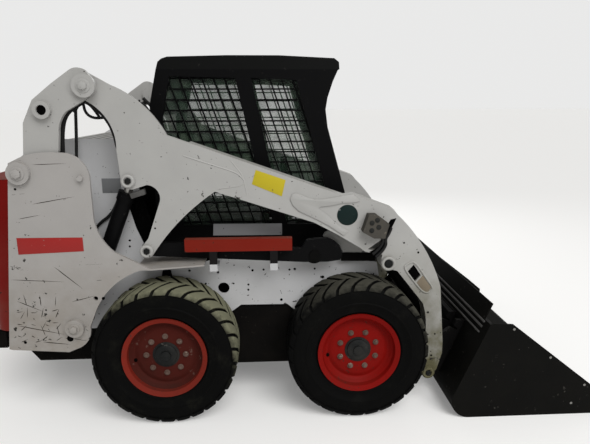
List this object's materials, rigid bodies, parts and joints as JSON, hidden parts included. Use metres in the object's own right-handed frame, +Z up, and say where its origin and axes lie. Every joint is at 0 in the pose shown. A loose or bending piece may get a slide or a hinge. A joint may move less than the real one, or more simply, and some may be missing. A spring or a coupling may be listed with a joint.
{
  "type": "skid steer loader",
  "caption": "Compact wheeled skid steer loader with vertical-lift arms, a dirt bucket on its coupler and a mesh-sided operator cab.",
  "frame": {"origin": "on the ground, in the middle of the machine's length and width", "axes": "+X forward towards the bucket, +Y to the machine's left side, +Z up"},
  "size_m": [3.4, 1.728, 1.938],
  "materials": {
    "tyre_rubber": "worn",
    "red_paint": "satin",
    "white_paint": "satin",
    "dark_steel": "matt",
    "black_paint": "satin",
    "rod_chrome": "polished",
    "pane_glass": "clear",
    "seat_vinyl": "matt",
    "lamp_red": "gloss"
  },
  "bodies": {
    "frame": {"arm_support": "red_paint", "axle_tubes": "dark_steel", "bulkhead": "white_paint", "cab_panes": "pane_glass", "cab_rear_wall": "black_paint", "cab_roof": "black_paint", "cab_side_left": "black_paint", "cab_side_right": "black_paint", "chain_case_left": "dark_steel", "chain_case_right": "dark_steel", "control_levers": "black_paint", "control_link_pins": "dark_steel", "deck": "white_paint", "engine": "dark_steel", "foot_floor": "dark_steel", "hood_rails": "white_paint", "lower_frame": "dark_steel", "rear_bumper": "red_paint", "screen_left": "black_paint", "screen_right": "black_paint", "seat": "seat_vinyl", "seat_bar_pivots": "black_paint", "seat_pan": "black_paint", "side_plate_left": "white_paint", "side_plate_right": "white_paint", "tailgate_hinge_pins": "dark_steel", "tower_left": "white_paint", "tower_right": "white_paint"},
    "control_links": {"control_links": "black_paint"},
    "arms": {"arm_left": "white_paint", "arm_right": "white_paint", "arm_foot_left": "white_paint", "arm_foot_right": "white_paint", "arm_cross_tube": "white_paint", "hydraulic_block": "dark_steel"},
    "rear_links": {"rear_links": "white_paint"},
    "lift_barrels": {"lift_barrels": "black_paint"},
    "lift_rods": {"lift_rods": "rod_chrome"},
    "tilt_barrels": {"tilt_barrels": "black_paint"},
    "tilt_rods": {"tilt_rods": "rod_chrome"},
    "bucket": {"coupler": "black_paint", "bucket": "black_paint"},
    "tailgate": {"tailgate": "red_paint", "tail_lamps": "lamp_red"},
    "hood": {"hood": "white_paint"},
    "seat_bar": {"seat_bar": "black_paint"},
    "wheel_rear_left": {"tyre_rear_left": "tyre_rubber", "rim_rear_left": "red_paint"},
    "wheel_rear_right": {"tyre_rear_right": "tyre_rubber", "rim_rear_right": "red_paint"},
    "wheel_front_left": {"tyre_front_left": "tyre_rubber", "rim_front_left": "red_paint"},
    "wheel_front_right": {"tyre_front_right": "tyre_rubber", "rim_front_right": "red_paint"}
  },
  "joints": [
    {"name": "lift", "type": "hinge", "parent": "frame", "child": "control_links", "pos_m": [0.085, 0, 0.89], "axis": [0, 1, 0], "range_deg": [0, 71.8]},
    {"name": "arm_swing", "type": "hinge", "parent": "control_links", "child": "arms", "pos_m": [-0.793, 0, 0.941], "axis": [0, -1, 0], "range_deg": [0, 145.6]},
    {"name": "rear_link_swing", "type": "hinge", "parent": "frame", "child": "rear_links", "pos_m": [-1.367, 0, 1.359], "axis": [0, 1, 0], "range_deg": [0, 3.41]},
    {"name": "lift_barrel_swing", "type": "hinge", "parent": "frame", "child": "lift_barrels", "pos_m": [-1.175, 0, 0.547], "axis": [0, 1, 0], "range_deg": [0, 6.09]},
    {"name": "lift_rod_slide", "type": "slide", "parent": "lift_barrels", "child": "lift_rods", "axis": [0.3793, 0, 0.9253], "range_m": [0, 0.5735]},
    {"name": "tilt", "type": "hinge", "parent": "arms", "child": "bucket", "pos_m": [0.729, 0, 0.202], "axis": [0, 1, 0], "range_deg": [-30, 90]},
    {"name": "tilt_barrel_swing", "type": "hinge", "parent": "arms", "child": "tilt_barrels", "pos_m": [0.477, 0, 0.85], "axis": [0, 1, 0], "range_deg": [-1.4, 0.5]},
    {"name": "tilt_rod_slide", "type": "slide", "parent": "tilt_barrels", "child": "tilt_rods", "axis": [0.5803, 0, -0.8144], "range_m": [-0.0815, 0.2438]},
    {"name": "tailgate_swing", "type": "hinge", "parent": "frame", "child": "tailgate", "pos_m": [-1.4912, 0.61, 0.879], "axis": [-0.1133, 0, -0.9936], "range_deg": [0, 100]},
    {"name": "hood_lift", "type": "hinge", "parent": "frame", "child": "hood", "pos_m": [-0.85, 0, 1.482], "axis": [0, 1, 0], "range_deg": [0, 60]},
    {"name": "seat_bar_swing", "type": "hinge", "parent": "frame", "child": "seat_bar", "pos_m": [-0.737, 0, 1.33], "axis": [0, -1, 0], "range_deg": [0, 58]},
    {"name": "wheel_rear_left_spin", "type": "hinge", "parent": "frame", "child": "wheel_rear_left", "pos_m": [-0.715, 0.706, 0.384], "axis": [0, 1, 0], "continuous": true},
    {"name": "wheel_rear_right_spin", "type": "hinge", "parent": "frame", "child": "wheel_rear_right", "pos_m": [-0.715, -0.706, 0.384], "axis": [0, 1, 0], "continuous": true},
    {"name": "wheel_front_left_spin", "type": "hinge", "parent": "frame", "child": "wheel_front_left", "pos_m": [0.314, 0.706, 0.384], "axis": [0, 1, 0], "continuous": true},
    {"name": "wheel_front_right_spin", "type": "hinge", "parent": "frame", "child": "wheel_front_right", "pos_m": [0.314, -0.706, 0.384], "axis": [0, 1, 0], "continuous": true}
  ],
  "couplings": [
    {"joint": "arm_swing", "follows": "lift", "ratio": 2.0271},
    {"joint": "rear_link_swing", "follows": "lift", "ratio": 0.0468},
    {"joint": "lift_barrel_swing", "follows": "lift", "ratio": 0.0841},
    {"joint": "lift_rod_slide", "follows": "lift", "m_per_rad": 0.4574},
    {"joint": "tilt_barrel_swing", "follows": "tilt", "ratio": -0.015},
    {"joint": "tilt_rod_slide", "follows": "tilt", "m_per_rad": 0.155}
  ]
}
